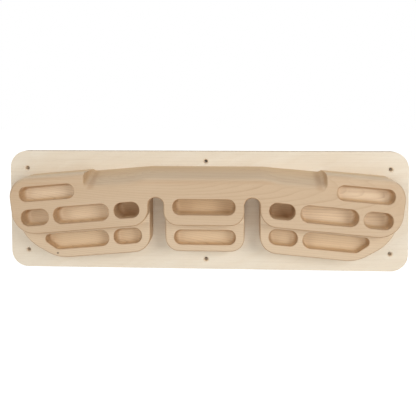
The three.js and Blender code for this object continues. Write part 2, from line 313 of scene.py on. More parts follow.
def makeGrainGroup():
    group, given, put = newGroup(
        "boardGrain",
        [
            ("Place", "NodeSocketVector", (0, 0, 0)),
            ("Pith", "NodeSocketVector", (0, 0.06, -0.02)),
            ("Lean", "NodeSocketVector", (0, 0, 0)),
            ("Ring Spacing", "NodeSocketFloat", 0.004),
            ("Wander", "NodeSocketFloat", 0.006),
            ("Late Wood", "NodeSocketFloat", 5.0),
        ],
        [
            ("Rings", "NodeSocketFloat"),
            ("Fibre", "NodeSocketFloat"),
            ("Flecks", "NodeSocketFloat"),
            ("Tone", "NodeSocketFloat"),
        ],
    )
    place = given["Place"]
    names = ("bend", "ripple", "patches", "fibre", "dashes", "tone")
    noise = {name: noiseAt(group, place, *boardGrain[name]) for name in names}

    # distance from the pith, which leans along the board, with long bends and small ripples
    lean = vectorCalc(group, "SCALE", given["Lean"])
    feed(group, lean.node.inputs["Scale"], axes(group, place)["X"])
    fromPith = vectorCalc(group, "SUBTRACT", vectorCalc(group, "SUBTRACT", place, given["Pith"]), lean)
    radius = addNode(group, "ShaderNodeVectorMath", operation="LENGTH")
    feed(group, radius.inputs[0], vectorCalc(group, "MULTIPLY", fromPith, (0, 1, 1)))
    bend = calc(group, "MULTIPLY", calc(group, "SUBTRACT", noise["bend"], 0.5), given["Wander"])
    rippleSize = calc(group, "MULTIPLY", given["Wander"], boardGrain["rippleShare"])
    ripple = calc(group, "MULTIPLY", calc(group, "SUBTRACT", noise["ripple"], 0.5), rippleSize)
    bent = calc(group, "ADD", calc(group, "ADD", radius.outputs["Value"], bend), ripple)

    # each year darkens slowly and ends sharply, some years and some places more than others
    years = calc(group, "DIVIDE", bent, given["Ring Spacing"])
    phase = calc(group, "FRACT", years)
    rise = calc(group, "POWER", phase, given["Late Wood"])
    fall = spread(group, phase, *boardGrain["yearEnd"])
    year = addNode(group, "ShaderNodeTexWhiteNoise", noise_dimensions="1D")
    feed(group, year.inputs["W"], calc(group, "FLOOR", years))
    strength = spread(group, year.outputs["Value"], *boardGrain["yearStrength"])
    patchy = spread(group, noise["patches"], *boardGrain["patchStrength"])
    line, amount = calc(group, "MULTIPLY", rise, fall), calc(group, "MULTIPLY", strength, patchy)
    feed(group, put["Rings"], calc(group, "MULTIPLY", line, amount))
    feed(group, put["Fibre"], noise["fibre"])
    feed(group, put["Flecks"], spread(group, noise["dashes"], *boardGrain["fleckSpan"]))
    feed(group, put["Tone"], noise["tone"])
    return group


def makeEdgeGroup():
    # edges that stand proud, where hands rub the wood lighter and smoother
    group, given, put = newGroup(
        "edgeWear",
        [("Low", "NodeSocketFloat", 0.505), ("High", "NodeSocketFloat", 0.56)],
        [("Proud", "NodeSocketFloat")],
    )
    pointiness = addNode(group, "ShaderNodeNewGeometry").outputs["Pointiness"]
    feed(group, put["Proud"], spread(group, pointiness, given["Low"], given["High"]))
    return group


grainGroup = makeGrainGroup()
edgeGroup = makeEdgeGroup()


def principled(name):
    material = bpy.data.materials.new(name)
    material.use_nodes = True
    tree = material.node_tree
    place = addNode(tree, "ShaderNodeTexCoord").outputs["Object"]
    return material, tree, tree.nodes["Principled BSDF"], place


def placeGrain(tree, place, wood):
    return placeGroup(tree, grainGroup, {
        "Place": place,
        "Pith": wood["pith"],
        "Lean": wood["lean"],
        "Ring Spacing": wood["ringSpacing"],
        "Wander": wood["wander"],
        "Late Wood": wood["lateWood"],
    })


def addBump(tree, shader, height, strength, distance):
    bump = addNode(tree, "ShaderNodeBump")
    bump.inputs["Strength"].default_value = strength
    bump.inputs["Distance"].default_value = distance
    feed(tree, bump.inputs["Height"], height)
    feed(tree, shader.inputs["Normal"], bump.outputs[0])


# Block wood: colours, how strongly each one shows, the surface, then the log it was cut from, in metres

blockWood = {
    "pale": (0.655, 0.487, 0.324, 1),
    "warm": (0.545, 0.366, 0.212, 1),
    "fresh": (0.870, 0.713, 0.518, 1),
    # fresh wood with painted shade, for the walls and the deeper pocket floors
    "shadedFresh": (0.780, 0.558, 0.308, 1),
    # painted shade, laid on the deepest pockets, the sloper ends, the rim and seam lines and down-facing
    # edges
    "paintedShade": (0.390, 0.180, 0.060, 1),
    "endGrain": (0.440, 0.255, 0.100, 1),
    "ring": (0.430, 0.262, 0.150, 1),
    "streak": (0.560, 0.350, 0.200, 1),
    "fleck": (0.330, 0.200, 0.120, 1),
    "knot": (0.060, 0.030, 0.018, 1),
    "toneSpan": (0.35, 0.7, 0.0, 0.34),
    "freshShare": 0.92,
    "endGrainShare": 0.42,
    # how strongly the painted shade shows: deep pockets and sloper ends, rim lines, down-facing edges
    "recessShadeShare": 0.42,
    "rimShadeShare": 0.46,
    "underShadeShare": 0.62,
    "ringShare": 0.72,
    "sloperRingShare": 0.4,
    "streaks": ((7, 230, 230), 2.0, 0.5),
    "streakSpan": (0.45, 0.68),
    "streakShare": 0.3,
    "fibreSpan": (0.3, 0.75, 0.0, 0.16),
    "fleckShare": 0.22,
    "wornLow": 0.505,
    "wornHigh": 0.56,
    "wornShare": 0.18,
    "wornGloss": 0.08,
    "roughSpan": (0.2, 0.8, 0.52, 0.66),
    "fibreHeight": 0.7,
    "ringHeight": 0.4,
    "bumpStrength": 0.25,
    "bumpDistance": 0.0002,
    "specular": 0.32,
    # spans of the surface normal: ends, walls, round edges, and what faces down
    "endFacing": (0.35, 0.9),
    "steep": (0.75, 0.3),
    "offFlat": (0.985, 0.8),
    "offWall": (0.0, 0.25),
    "downward": (-0.15, -0.45),
    # the log
    "pith": (0, -0.034, 0.072),
    "lean": (0, 0.12, -0.12),
    "ringSpacing": 0.0038,
    "wander": 0.012,
    "lateWood": 5.0,
    "knotPlace": (-0.2577, -0.048, -0.0711),
    "knotRadius": 0.0016,
    "knotSpan": (0.5, 1.6, 0.8, 0.0),
}

# What the cutter left on the wood, and where shade is painted on it, in metres: depths count from the face,
# the step or the panel, heights along the wing's slope, and reaches from the middle.
cutterAndShade = {
    "openedDepth": (0.001, 0.006),
    "sloperHeight": (0.052, 0.056),
    "sloperReach": (0.200, 0.204, 1.0, 0.0),
    "sloperShare": (0.0, 1.0, 1.0, 0.5),
    "stepHeight": (-0.014, -0.017),
    "stepFace": (0.001, 0.004, 1.0, 0.0),
    "stepShare": (0.0, 1.0, 1.0, 0.42),
    # painted shade: browner walls and deeper pocket floors
    "wallShare": 0.55,
    "upperFloors": (0.026, 0.042, 0.0, 0.65),
    "lowerFloors": (0.006, 0.014, 0.0, 0.38),
    # painted shade in the two deepest pockets, darkest low down
    "deepestDepth": (0.006, 0.04, 0.35, 1.0),
    "deepestStart": (0.102, 0.104),
    "deepestEnd": (0.156, 0.158, 1.0, 0.0),
    "deepestFoot": (-0.008, -0.006),
    "deepestTop": (0.03, 0.032, 1.0, 0.0),
    "deepestFade": (0.002, 0.016, 1.0, 0.55),
    # painted shade on the sloper ends, beside the end block's wall
    "turnUpStart": (0.183, 0.192),
    "turnUpEnd": (0.1945, 0.2015, 1.0, 0.0),
    "turnUpShare": 0.6,
    # painted shade lines under the rims, round the step and along the seam with the panel
    "rimStart": (0.0012, 0.0025),
    "rimEnd": (0.003, 0.007, 1.0, 0.0),
    "seamShade": (-0.0025, -0.001),
}


def rimShadeBand(tree, depth, surface):
    # painted shade: a band on the walls just under a milled rim
    start = spread(tree, depth, *spanFrom(surface, cutterAndShade["rimStart"]))
    return calc(tree, "MULTIPLY", start, spread(tree, depth, *spanFrom(surface, cutterAndShade["rimEnd"])))


def cutterMarksAndShade(tree, place, turned, steep):
    spot = axes(tree, place)
    depth = spot["Y"]
    face = panelLow.y - block["depth"] / 1000
    step = panelLow.y - block["stepDepth"] / 1000
    reach = calc(tree, "ABSOLUTE", spot["X"])
    past = calc(tree, "MAXIMUM", calc(tree, "SUBTRACT", reach, block["crownHalfWidth"] / 1000), 0.0)
    height = calc(tree, "ADD", spot["Z"], calc(tree, "MULTIPLY", past, math.tan(wing["tilt"])))

    # paler wood wherever the cutter went below the sanded face, less so on the slopers and the step
    opened = spread(tree, depth, *spanFrom(face, cutterAndShade["openedDepth"]))
    high = spread(tree, height, *cutterAndShade["sloperHeight"])
    lower = spread(tree, height, *cutterAndShade["stepHeight"])
    onSloper = calc(tree, "MULTIPLY", high, spread(tree, reach, *cutterAndShade["sloperReach"]))
    onStep = calc(tree, "MULTIPLY", lower, spread(tree, depth, *spanFrom(step, cutterAndShade["stepFace"])))
    sloperTone = spread(tree, onSloper, *cutterAndShade["sloperShare"])
    stepTone = spread(tree, onStep, *cutterAndShade["stepShare"])
    milled = product(tree, opened, sloperTone, stepTone, inverse(tree, turned))

    # painted shade: browner on the walls and in the deeper pockets
    offSloper = inverse(tree, high)
    wall = product(tree, steep, offSloper, cutterAndShade["wallShare"])
    inUpper = spread(tree, depth, *spanFrom(face, cutterAndShade["upperFloors"]))
    inLower = spread(tree, depth, *spanFrom(step, cutterAndShade["lowerFloors"]))
    upper, lowest = product(tree, inUpper, inverse(tree, lower)), product(tree, inLower, lower)
    hollowShade = strongest(tree, wall, calc(tree, "ADD", upper, lowest))

    # painted shade in the two deepest pockets, most of all low down
    along = product(tree, *(spread(tree, reach, *cutterAndShade[name]) for name in ("deepestStart", "deepestEnd")))
    row = product(tree, *(spread(tree, height, *cutterAndShade[name]) for name in ("deepestFoot", "deepestTop")))
    sunk = spread(tree, depth, *spanFrom(face, cutterAndShade["deepestDepth"]))
    fade = spread(tree, height, *cutterAndShade["deepestFade"])
    deepShade = calc(tree, "MULTIPLY", calc(tree, "MULTIPLY", sunk, fade), product(tree, along, row, opened))

    # and painted shade on the slopers at their ends, where the cutter turned up beside the end block's wall
    start = spread(tree, reach, *cutterAndShade["turnUpStart"], smooth=True)
    end = spread(tree, reach, *cutterAndShade["turnUpEnd"], smooth=True)
    recessShade = strongest(tree, deepShade, product(tree, start, end, high, cutterAndShade["turnUpShare"]))

    # painted shade: thin brown lines under the rims, round the step, and where the block meets the panel
    stepShadeBand = calc(tree, "MULTIPLY", rimShadeBand(tree, depth, step), lower)
    seamShade = spread(tree, depth, *spanFrom(panelLow.y, cutterAndShade["seamShade"]))
    shadeLines = strongest(tree, rimShadeBand(tree, depth, face), stepShadeBand, seamShade)
    return milled, hollowShade, recessShade, product(tree, shadeLines, steep, offSloper), offSloper


def blockWoodMaterial():
    material, tree, shader, place = principled("blockWood")
    grain = placeGrain(tree, place, blockWood)
    worn = placeGroup(tree, edgeGroup, {"Low": blockWood["wornLow"], "High": blockWood["wornHigh"]})["Proud"]
    normal = axes(tree, addNode(tree, "ShaderNodeNewGeometry").outputs["Normal"])
    level = calc(tree, "ABSOLUTE", normal["Y"])
    steep = spread(tree, level, *blockWood["steep"])
    turned = spread(tree, calc(tree, "ABSOLUTE", normal["X"]), *blockWood["endFacing"])
    milled, hollowShade, recessShade, rimShade, offSloper = cutterMarksAndShade(tree, place, turned, steep)

    # painted shade: rounded edges that face down are darker brown
    offFlat = spread(tree, level, *blockWood["offFlat"])
    offWall = spread(tree, level, *blockWood["offWall"])
    underShade = product(tree, offFlat, offWall, spread(tree, normal["Z"], *blockWood["downward"]))

    tone = spread(tree, grain["Tone"], *blockWood["toneSpan"])
    ground = blendColour(tree, tone, blockWood["pale"], blockWood["warm"])
    # painted shade: walls and deeper pocket floors take the shaded fresh colour
    opened = blendColour(tree, hollowShade, blockWood["fresh"], blockWood["shadedFresh"])
    ground = tinted(tree, ground, milled, blockWood["freshShare"], opened)
    ground = tinted(tree, ground, turned, blockWood["endGrainShare"], blockWood["endGrain"])
    # painted shade: deep pockets and sloper ends, rim lines, down-facing edges
    for mask, share in ((recessShade, "recessShadeShare"), (rimShade, "rimShadeShare"), (underShade, "underShadeShare")):
        ground = tinted(tree, ground, mask, blockWood[share], blockWood["paintedShade"])

    ringShare = spread(tree, offSloper, 0.0, 1.0, blockWood["sloperRingShare"], blockWood["ringShare"])
    ground = tinted(tree, ground, grain["Rings"], ringShare, blockWood["ring"])
    streaks = spread(tree, noiseAt(tree, place, *blockWood["streaks"]), *blockWood["streakSpan"])
    streaks = calc(tree, "MULTIPLY", streaks, inverse(tree, offSloper))
    ground = tinted(tree, ground, streaks, blockWood["streakShare"], blockWood["streak"])
    fibreShare = spread(tree, grain["Fibre"], *blockWood["fibreSpan"])
    ground = blendColour(tree, fibreShare, ground, blockWood["warm"])
    ground = tinted(tree, ground, grain["Flecks"], blockWood["fleckShare"], blockWood["fleck"])
    knot = addNode(tree, "ShaderNodeVectorMath", operation="DISTANCE")
    feed(tree, knot.inputs[0], place)
    feed(tree, knot.inputs[1], blockWood["knotPlace"])
    core, rimOut, *strength = blockWood["knotSpan"]
    radius = blockWood["knotRadius"]
    knotMask = spread(tree, knot.outputs["Value"], radius * core, radius * rimOut, *strength, smooth=True)
    ground = blendColour(tree, knotMask, ground, blockWood["knot"])
    ground = tinted(tree, ground, worn, blockWood["wornShare"], blockWood["pale"])
    feed(tree, shader.inputs["Base Color"], ground)

    rough = spread(tree, grain["Fibre"], *blockWood["roughSpan"])
    gloss = calc(tree, "MULTIPLY", worn, blockWood["wornGloss"])
    feed(tree, shader.inputs["Roughness"], calc(tree, "SUBTRACT", rough, gloss))
    fibres = calc(tree, "MULTIPLY", grain["Fibre"], blockWood["fibreHeight"])
    rings = calc(tree, "MULTIPLY", grain["Rings"], blockWood["ringHeight"])
    height = calc(tree, "SUBTRACT", fibres, rings)
    addBump(tree, shader, height, blockWood["bumpStrength"], blockWood["bumpDistance"])
    shader.inputs["Specular IOR Level"].default_value = blockWood["specular"]
    return material


panelWood = {
    "veneer": (0.880, 0.790, 0.650, 1),
    "veneerWarm": (0.812, 0.686, 0.520, 1),
    "pores": (0.520, 0.385, 0.250, 1),
    "plyLight": (0.860, 0.750, 0.590, 1),
    "plyDark": (0.690, 0.540, 0.380, 1),
    "glue": (0.300, 0.200, 0.130, 1),
    "broadSpan": (0.0, 1.0, 0.0, 0.4),
    "toneSpan": (0.4, 0.75, 0.0, 0.3),
    "figure": ((5, 40, 40), 2.0, 0.5),
    "figureTurn": 0.42,
    "figureSpan": (0.42, 0.64, 0.0, 0.35),
    "poreShare": 0.2,
    "fibreSpan": (0.45, 0.8, 0.0, 0.16),
    "plies": 11.0,
    "waver": 0.0004,
    "endGrain": ((900, 2400, 900), 3.0, 0.6),
    "endSpan": (0.4, 0.75, 0.0, 0.35),
    "glueSpan": (0.0, 0.09, 0.5, 0.0),
    "edgeFacing": (0.94, 0.85),
    "roughSpan": (0.2, 0.8, 0.55, 0.7),
    "fleckDepth": 0.5,
    "bumpStrength": 0.2,
    "bumpDistance": 0.0002,
    "specular": 0.3,
    "pith": (0.1, 0.35, 0.5),
    "lean": (0, 0.01, 0.3),
    "ringSpacing": 0.016,
    "wander": 0.09,
    "lateWood": 1.6,
}


def panelWoodMaterial():
    material, tree, shader, place = principled("panelWood")
    grain = placeGrain(tree, place, panelWood)

    # veneer, with a broad figure of its own that leans across the sheet
    turned = addNode(tree, "ShaderNodeVectorRotate", rotation_type="Y_AXIS")
    feed(tree, turned.inputs["Vector"], place)
    turned.inputs["Angle"].default_value = panelWood["figureTurn"]
    figure = noiseAt(tree, turned.outputs[0], *panelWood["figure"])
    veneer = panelWood["veneer"]
    for source, span in ((grain["Rings"], "broadSpan"), (grain["Tone"], "toneSpan"), (figure, "figureSpan")):
        veneer = blendColour(tree, spread(tree, source, *panelWood[span]), veneer, panelWood["veneerWarm"])
    veneer = tinted(tree, veneer, grain["Flecks"], panelWood["poreShare"], panelWood["pores"])
    fibres = spread(tree, grain["Fibre"], *panelWood["fibreSpan"])
    veneer = blendColour(tree, fibres, veneer, panelWood["pores"])

    # plies show on the edges and in the countersinks
    waver = calc(tree, "MULTIPLY", calc(tree, "SUBTRACT", grain["Tone"], 0.5), panelWood["waver"])
    depth = calc(tree, "ADD", axes(tree, place)["Y"], waver)
    depth = calc(tree, "DIVIDE", depth, -panel["thickness"] / 1000)
    ply = calc(tree, "MULTIPLY", depth, panelWood["plies"])
    odd = calc(tree, "MODULO", calc(tree, "FLOOR", ply), 2.0)
    plyTone = blendColour(tree, odd, panelWood["plyLight"], panelWood["plyDark"])
    ends = spread(tree, noiseAt(tree, place, *panelWood["endGrain"]), *panelWood["endSpan"])
    plyGrain = blendColour(tree, ends, plyTone, panelWood["plyDark"])
    glue = spread(tree, calc(tree, "PINGPONG", ply, 0.5), *panelWood["glueSpan"])
    plyEdge = blendColour(tree, glue, plyGrain, panelWood["glue"])
    normal = axes(tree, addNode(tree, "ShaderNodeNewGeometry").outputs["True Normal"])
    onEdge = spread(tree, calc(tree, "ABSOLUTE", normal["Y"]), *panelWood["edgeFacing"])
    feed(tree, shader.inputs["Base Color"], blendColour(tree, onEdge, veneer, plyEdge))

    feed(tree, shader.inputs["Roughness"], spread(tree, grain["Fibre"], *panelWood["roughSpan"]))
    flecks = calc(tree, "MULTIPLY", grain["Flecks"], panelWood["fleckDepth"])
    height = calc(tree, "SUBTRACT", grain["Fibre"], flecks)
    addBump(tree, shader, height, panelWood["bumpStrength"], panelWood["bumpDistance"])
    shader.inputs["Specular IOR Level"].default_value = panelWood["specular"]
    return material


screwSteel = {
    "colour": (0.56, 0.52, 0.40, 1),
    "tarnish": (0.36, 0.33, 0.25, 1),
    "stain": ((900, 900, 900), 4.0, 0.6),
    "stainSpan": (0.4, 0.75, 0.0, 0.7),
    "turning": ((200, 5000, 200), 2.0, 0.5),
    "roughSpan": (0.3, 0.8, 0.24, 0.46),
    "bumpStrength": 0.2,
    "bumpDistance": 0.00005,
}


def screwSteelMaterial():
    material, tree, shader, place = principled("screwSteel")
    stain = noiseAt(tree, place, *screwSteel["stain"])
    share = spread(tree, stain, *screwSteel["stainSpan"])
    colour = blendColour(tree, share, screwSteel["colour"], screwSteel["tarnish"])
    feed(tree, shader.inputs["Base Color"], colour)
    feed(tree, shader.inputs["Roughness"], spread(tree, stain, *screwSteel["roughSpan"]))
    shader.inputs["Metallic"].default_value = 1
    turning = noiseAt(tree, place, *screwSteel["turning"])
    addBump(tree, shader, turning, screwSteel["bumpStrength"], screwSteel["bumpDistance"])
    return material


# Block

block = {
    "depth": 58,
    "stepDepth": 33,
    "edgeRound": 3,
    "topRound": 8,
    "seamInset": 0.3,
    "crownTop": 78.5,
    "crownHalfWidth": 98,
    "centreStepDrop": 15.7,
    "centreFootDrop": 65.5,
    "centreCornerRadius": 24,
    "gapCentre": 81.3,
    "gapWidth": 26.2,
    "gapTop": 31.5,
    "gapHeadRadius": 12.6,
    "roundSteps": 12,
}

wing = {
    "tilt": math.radians(5.05),
    "rise": 3.3,
    "stepDrop": 15.5,
    "footDrop": 65.7,
    "innerRadius": 30,
    "topReach": 236.4,
    "topRadius": 30,
    "sideLean": 3.3,
    "sideDrop": 23.1,
    "sideRadius": 75,
    "stepRadius": 40,
    "footSetback": 66.5,
    "footRadius": 65,
}

gapInner = block["gapCentre"] - block["gapWidth"] / 2
gapOuter = block["gapCentre"] + block["gapWidth"] / 2
tiltCos = math.cos(wing["tilt"])
tiltSin = math.sin(wing["tilt"])
wingTop = (block["crownHalfWidth"] - gapOuter) * tiltSin + block["crownTop"] * tiltCos + wing["rise"]


def wingPoint(along, up, radius=0):
    # a point along and across a wing's sloping axis, in the board's frame
    return (gapOuter + along * tiltCos + up * tiltSin, -along * tiltSin + up * tiltCos, radius)


def endReach(up):
    # where the wing's end face lies along its axis: it leans inward as it drops
    share = (up + wing["sideDrop"]) / (wingTop + wing["sideDrop"])
    return wing["topReach"] - wing["sideLean"] * (1 - share)


def blockOutline(legDrop, wingCorners, topInset, endInset):
    top = wingTop - topInset
    right = [
        (gapInner, -legDrop, block["centreCornerRadius"]),
        (gapInner, block["gapTop"], block["gapHeadRadius"]),
        (gapOuter, block["gapTop"], block["gapHeadRadius"]),
        *wingCorners,
        wingPoint(endReach(top) - endInset, top, wing["topRadius"]),
    ]
    ridge = (0, gapOuter * math.tan(wing["tilt"]) + top / tiltCos, block["crownHalfWidth"])
    return [*right, ridge, *mirrored(right)]


def baseCorners(topInset):
    # the base keeps the seam's small inset at every level, so it ignores the one that it is handed
    corners = [
        (gapOuter, -wing["footDrop"] / tiltCos, wing["innerRadius"]),
        wingPoint(wing["topReach"] - wing["footSetback"], -wing["footDrop"], wing["footRadius"]),
        wingPoint(endReach(-wing["sideDrop"]), -wing["sideDrop"], wing["sideRadius"]),
    ]
    return blockOutline(block["centreFootDrop"], corners, block["seamInset"], block["seamInset"])


def faceCorners(topInset):
    corners = [
        (gapOuter, -wing["stepDrop"] / tiltCos, wing["innerRadius"]),
        wingPoint(endReach(-wing["stepDrop"]), -wing["stepDrop"], wing["stepRadius"]),
    ]
    return blockOutline(block["centreStepDrop"], corners, topInset, 0)


def roundedSlab(name, cornersAt, depth, topRadius):
    # front edge rounded over, with a wider round along the top: cornersAt gives the outline for a top inset
    levels = [(cornersAt(0), 0, 0)]
    for topRun, below in quarterRound(topRadius, block["roundSteps"]):
        run = roundRun(block["edgeRound"], below)
        levels.append((cornersAt(topRun - run), depth - below, -run))
    return stack(name, levels)


# Slopers

sloper = {
    "centreSlope": math.radians(15),
    "outerSlope": math.radians(19),
    "blendRadius": 13,
    "shoulder": 96,
    "transition": 36,
    "endBlockLength": 133,
    "endFillet": 11,
    "steps": 12,
    "clear": 2,
}


def sloperBack(x):
    # height of the sloper where it meets the panel
    past = max(0, abs(x) - block["crownHalfWidth"])
    return block["crownTop"] - past * math.tan(wing["tilt"])


def sloperFront(x):
    # its height at the face, with a smooth change from the middle slope to the outer one
    past = min(1, max(0, (abs(x) - sloper["shoulder"]) / sloper["transition"]))
    blend = past * past * (3 - 2 * past)
    centre, outer = math.tan(sloper["centreSlope"]), math.tan(sloper["outerSlope"])
    return sloperBack(x) - block["depth"] * (centre + (outer - centre) * blend)


def sloperSection(x, lift):
    # (up, out) points round what the cutter takes away at x
    depth, radius, clear = block["depth"], sloper["blendRadius"], sloper["clear"]
    front = sloperFront(x)
    slope = math.atan2(sloperBack(x) - front, depth)
    turn = math.pi / 2 - slope
    foot = front - radius * math.tan(turn / 2)
    section = []
    for step in range(sloper["steps"] + 1):
        angle = turn * step / sloper["steps"]
        section.append((foot + radius * math.sin(angle), depth - radius * (1 - math.cos(angle))))
    above = wingTop / tiltCos + gapOuter * math.tan(wing["tilt"]) + clear
    section.append((sloperBack(x) + clear * math.tan(slope), -clear))
    section.append((above, -clear))
    section.append((above, depth + clear))
    section.append((foot, depth + clear))
    return [(y + lift, z) for y, z in section]


def sloperCutter():
    # sections along one half, the last ones lifted along the end fillet, then mirrored
    steps, fillet = sloper["steps"], sloper["endFillet"]
    end = wingPoint(wing["topReach"], wingTop)[0] - sloper["endBlockLength"]
    half = [(0, 0)]
    for step in range(steps + 1):
        half.append((sloper["shoulder"] + sloper["transition"] * step / steps, 0))
    for step in range(steps + 1):
        angle = math.pi / 2 * step / steps
        half.append((end - fillet + fillet * math.sin(angle), fillet * (1 - math.cos(angle))))
    half.append((end, block["crownTop"]))
    columns = [(-x, lift) for x, lift in reversed(half[1:])] + half
    rings = []
    for x, lift in columns:
        ring = []
        for y, z in sloperSection(x, lift):
            flare = 0
            if abs(x) >= end:
                flare = roundRun(block["edgeRound"], max(0, block["depth"] - z))
            ring.append((x + math.copysign(flare, x), y, z))
        rings.append(ring)
    return skin("sloperCutter", rings)


# Pockets

pocket = {
    "endFlat": 1,
    "lipRadius": 2,
    "floorRadius": 9,
    "shallow": 24,
    "medium": 30,
    "deep": 42,
    "centre": 40,
    "low": 22,
    "topRowDrop": 28.3,
    "middleRowRise": 28.3,
    "lowRowRise": 29.2,
    "topHeight": 25,
    "innerHeight": 26.7,
    "longHeight": 28.6,
    "outerHeight": 27.6,
    "lowHeight": 26.4,
    "angledHeight": 27.4,
    "topLength": 94.9,
    "topMargin": 18.7,
    "innerMargin": 14.2,
    "innerLength": 42.9,
    "innerWeb": 9.4,
    "outerWeb": 8.7,
    "outerLength": 47.6,
    "outerMargin": 18,
    "lowMargin": 18.9,
    "lowLength": 48.5,
    "lowWeb": 9.3,
    "angledTopSetback": 33.5,
    "angledFootSetback": 67.5,
    "angledTipRadius": 8,
    "angledFootRadius": 12,
    "centreLength": 105.5,
    "upperHeight": 26.4,
    "lowerHeight": 25.2,
    "upperRise": 15.8,
    "lowerDrop": 40.9,
    "lipSteps": 6,
    "floorSteps": 10,
    "clear": 2,  # how far a cutter goes past the face, and a floor's round stays inside its corner
}


def wingSlot(start, length, middle, height):
    low, high = middle - height / 2, middle + height / 2
    radius = (height - pocket["endFlat"]) / 2
    return [
        wingPoint(start, low, radius),
        wingPoint(start + length, low, radius),
        wingPoint(start + length, high, radius),
        wingPoint(start, high, radius),
    ]


def angledSlot(start, middle):
    # the long slot of the lower row ends in a slanting side and a narrow tip
    low, high = middle - pocket["angledHeight"] / 2, middle + pocket["angledHeight"] / 2
    radius = (pocket["angledHeight"] - pocket["endFlat"]) / 2
    return [
        wingPoint(start, low, radius),
        wingPoint(wing["topReach"] - pocket["angledFootSetback"], low, pocket["angledFootRadius"]),
        wingPoint(wing["topReach"] - pocket["angledTopSetback"], high, pocket["angledTipRadius"]),
        wingPoint(start, high, radius),
    ]


def centreSlot(middle, height):
    reach = pocket["centreLength"] / 2
    low, high = middle - height / 2, middle + height / 2
    radius = (height - pocket["endFlat"]) / 2
    return [(-reach, low, radius), (reach, low, radius), (reach, high, radius), (-reach, high, radius)]


def pocketList():
    # (corners, face depth, pocket depth)
    topRow = wingTop - pocket["topRowDrop"]
    middleRow = pocket["middleRowRise"] - wing["stepDrop"]
    lowRow = pocket["lowRowRise"] - wing["footDrop"]
    topStart = wing["topReach"] - pocket["topMargin"] - pocket["topLength"]
    longStart = pocket["innerMargin"] + pocket["innerLength"] + pocket["innerWeb"]
    outerStart = wing["topReach"] - pocket["outerMargin"] - pocket["outerLength"]
    longLength = outerStart - pocket["outerWeb"] - longStart
    angledStart = pocket["lowMargin"] + pocket["lowLength"] + pocket["lowWeb"]
    front, step = block["depth"], block["stepDepth"]
    innerSlot = wingSlot(pocket["innerMargin"], pocket["innerLength"], middleRow, pocket["innerHeight"])
    outerSlot = wingSlot(outerStart, pocket["outerLength"], middleRow, pocket["outerHeight"])
    lowSlot = wingSlot(pocket["lowMargin"], pocket["lowLength"], lowRow, pocket["lowHeight"])
    right = [
        (wingSlot(topStart, pocket["topLength"], topRow, pocket["topHeight"]), front, pocket["shallow"]),
        (innerSlot, front, pocket["deep"]),
        (wingSlot(longStart, longLength, middleRow, pocket["longHeight"]), front, pocket["medium"]),
        (outerSlot, front, pocket["medium"]),
        (lowSlot, step, pocket["low"]),
        (angledSlot(angledStart, lowRow), step, pocket["low"]),
    ]
    left = [(mirrored(corners), face, depth) for corners, face, depth in right]
    centre = [
        (centreSlot(pocket["upperRise"], pocket["upperHeight"]), front, pocket["centre"]),
        (centreSlot(-pocket["lowerDrop"], pocket["lowerHeight"]), step, pocket["low"]),
    ]
    return right + left + centre


def pocketCutter(corners, face, depth):
    # rounded floor, straight wall, lip rounded outward, then clear of the face
    tightest = min(radius for x, y, radius in corners)
    floorRadius = min(pocket["floorRadius"], tightest - pocket["clear"])
    levels = []
    for run, above in reversed(list(quarterRound(floorRadius, pocket["floorSteps"]))):
        levels.append((corners, face - depth + above, -run))
    for run, below in quarterRound(pocket["lipRadius"], pocket["lipSteps"]):
        levels.append((corners, face - below, run))
    levels.append((corners, face + pocket["clear"], pocket["lipRadius"]))
    return stack("pocketCutter", levels)


def makeBlock():
    body = roundedSlab("hangboardBlock", faceCorners, block["depth"], block["topRound"])
    base = roundedSlab("base", baseCorners, block["stepDepth"], block["edgeRound"])
    combine(body, [base], "UNION")
    cutters = [pocketCutter(*entry) for entry in pocketList()]
    combine(body, [sloperCutter(), *cutters], "DIFFERENCE")
    body.data.materials.append(blockWoodMaterial())
    return finishMesh(body)


# Backing panel

plywood = {
    "edgeSteps": 4,
    "cornerSteps": 16,
    "holeSegments": 48,
    "overrun": 2,  # how far a bore's cutter goes past the sheet
}


def wallHolePlaces():
    x = panel["width"] / 2 - panel["cornerHoleInset"]
    y = panel["height"] / 2 - panel["cornerHoleInset"]
    middle = panel["height"] / 2 - panel["middleHoleInset"]
    return [(x, y), (-x, y), (-x, -y), (x, -y), (0, middle), (0, -middle)]


def turnedPiece(name, profile, segments, x=0, y=0):
    # profile is (radius, depth) pairs, both ends on the axis
    rings = []
    for radius, z in profile[1:-1]:
        ring = []
        for i in range(segments):
            angle = 2 * math.pi * i / segments
            ring.append((x + radius * math.cos(angle), y + radius * math.sin(angle), z))
        rings.append(ring)
    return skin(name, rings)


def wallBore(x, y):
    bore, sink = panel["wallHoleDiameter"] / 2, panel["wallSinkDiameter"] / 2
    back, over = -panel["thickness"], plywood["overrun"]
    profile = [
        (0, back - over),
        (bore, back - over),
        (bore, bore - sink),
        (sink, 0),
        (sink, over),
        (0, over),
    ]
    return turnedPiece("wallBore", profile, plywood["holeSegments"], x, y)


def makePanel():
    x, y = panel["width"] / 2, panel["height"] / 2
    radius = panel["cornerRadius"]
    corners = [(-x, -y, radius), (x, -y, radius), (x, y, radius), (-x, y, radius)]
    back, soft = -panel["thickness"], panel["edgeRound"]
    edge = list(quarterRound(soft, plywood["edgeSteps"]))
    levels = [(corners, back + drop, -run) for run, drop in reversed(edge)]
    levels += [(corners, -drop, -run) for run, drop in edge]
    sheet = stack("backingPanel", levels, plywood["cornerSteps"])
    bores = [wallBore(*spot) for spot in wallHolePlaces()]
    bores += [screwBore(*spot) for spot in screwPlaces()]
    combine(sheet, bores, "DIFFERENCE")
    sheet.data.materials.append(panelWoodMaterial())
    return finishMesh(sheet)


# Assembly screws, driven from behind

